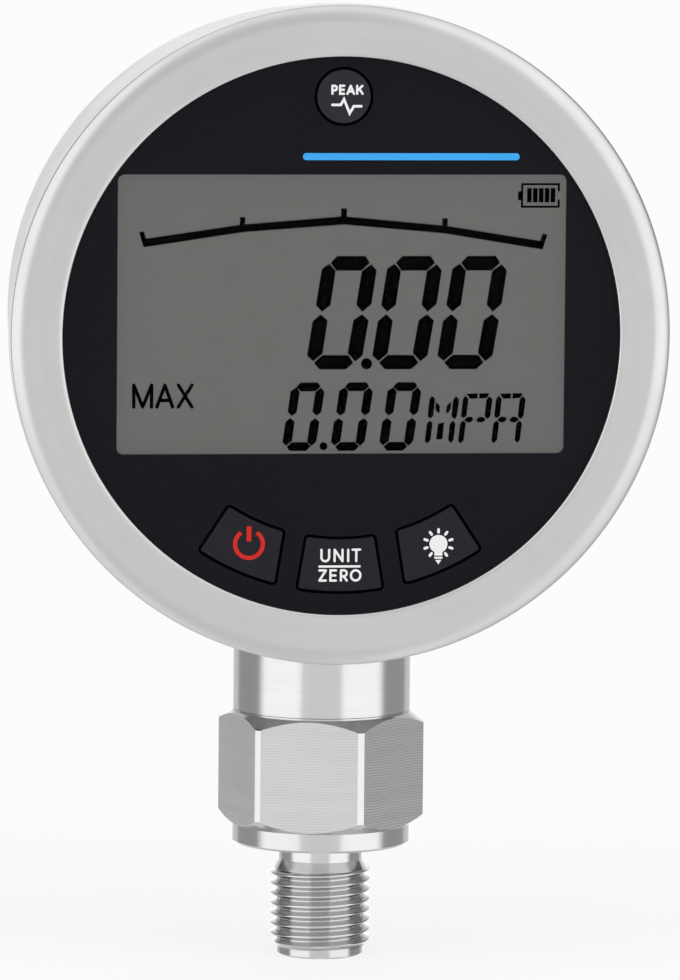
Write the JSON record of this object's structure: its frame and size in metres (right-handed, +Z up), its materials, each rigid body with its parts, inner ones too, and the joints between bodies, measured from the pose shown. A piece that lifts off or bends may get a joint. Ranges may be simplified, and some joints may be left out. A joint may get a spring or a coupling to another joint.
{
  "type": "digital pressure gauge",
  "caption": "Round steel pressure gauge with a wide display, a round key above it, sector keys below it and a threaded stem with a hexagon underneath.",
  "frame": {"origin": "centre of the end face of the threaded stem", "axes": "+Z up the stem towards the head, the display faces -Y, +X to the right seen from the front"},
  "size_m": [0.085, 0.044, 0.1262],
  "materials": {
    "stainless_turned": "fine turned stainless steel",
    "stainless_drawn": "drawn stainless steel, smooth satin",
    "panel_black": "black moulded plastic, light satin",
    "key_charcoal": "charcoal moulded plastic",
    "clear_pane": "clear polished pane",
    "display_grey": "grey reflective display glass",
    "white_plastic": "white moulded plastic",
    "board_green": "green lacquered circuit board",
    "rubber_black": "black rubber",
    "chip_black": "black chip package",
    "switch_black": "black switch housing",
    "zinc_steel": "bright zinc plated steel",
    "contact_nickel": "nickel plated spring sheet",
    "cell_wrap": "plain wrapped metal can",
    "tray_black": "black moulded plastic",
    "cover_black": "black moulded plastic, fine texture",
    "lead_grey": "grey flexible jacket"
  },
  "bodies": {
    "gauge": {"pressure_port": "stainless_turned", "case_shell": "stainless_drawn", "bezel_ring": "stainless_drawn", "panel_gasket": "rubber_black", "front_panel": "panel_black", "display_window": "clear_pane", "lcd_glass": "display_grey", "lcd_frame": "white_plastic", "backlight_panel": "white_plastic", "backlight_leds": "white_plastic", "contact_strips": "rubber_black", "main_board": "board_green", "board_screws": "zinc_steel", "controller_chip": "chip_black", "converter_chip": "chip_black", "crystal_can": "zinc_steel", "sensor_connector": "white_plastic", "battery_connector": "white_plastic", "switch_peak": "switch_black", "switch_power": "switch_black", "switch_unit": "switch_black", "switch_light": "switch_black", "sensor_capsule": "stainless_turned", "sensor_ring": "rubber_black", "sensor_retainer": "stainless_turned", "sensor_board": "board_green", "sensor_lead": "lead_grey", "battery_lead": "lead_grey", "battery_tray": "tray_black", "cell_upper": "cell_wrap", "cell_middle": "cell_wrap", "cell_lower": "cell_wrap", "battery_contacts": "contact_nickel", "battery_cover_seal": "rubber_black", "battery_cover": "cover_black", "battery_cover_screws": "zinc_steel"},
    "peak_key": {"key_peak": "key_charcoal", "plunger_peak": "chip_black"},
    "power_key": {"key_power": "key_charcoal", "plunger_power": "chip_black"},
    "unit_key": {"key_unit": "key_charcoal", "plunger_unit": "chip_black"},
    "light_key": {"key_light": "key_charcoal", "plunger_light": "chip_black"}
  },
  "joints": [
    {"name": "peak_key_press", "type": "slide", "parent": "gauge", "child": "peak_key", "axis": [0, 1, 0], "range_m": [0, 0.0005], "stiffness_N_per_m": 400},
    {"name": "power_key_press", "type": "slide", "parent": "gauge", "child": "power_key", "axis": [0, 1, 0], "range_m": [0, 0.0005], "stiffness_N_per_m": 400},
    {"name": "unit_key_press", "type": "slide", "parent": "gauge", "child": "unit_key", "axis": [0, 1, 0], "range_m": [0, 0.0005], "stiffness_N_per_m": 400},
    {"name": "light_key_press", "type": "slide", "parent": "gauge", "child": "light_key", "axis": [0, 1, 0], "range_m": [0, 0.0005], "stiffness_N_per_m": 400}
  ]
}
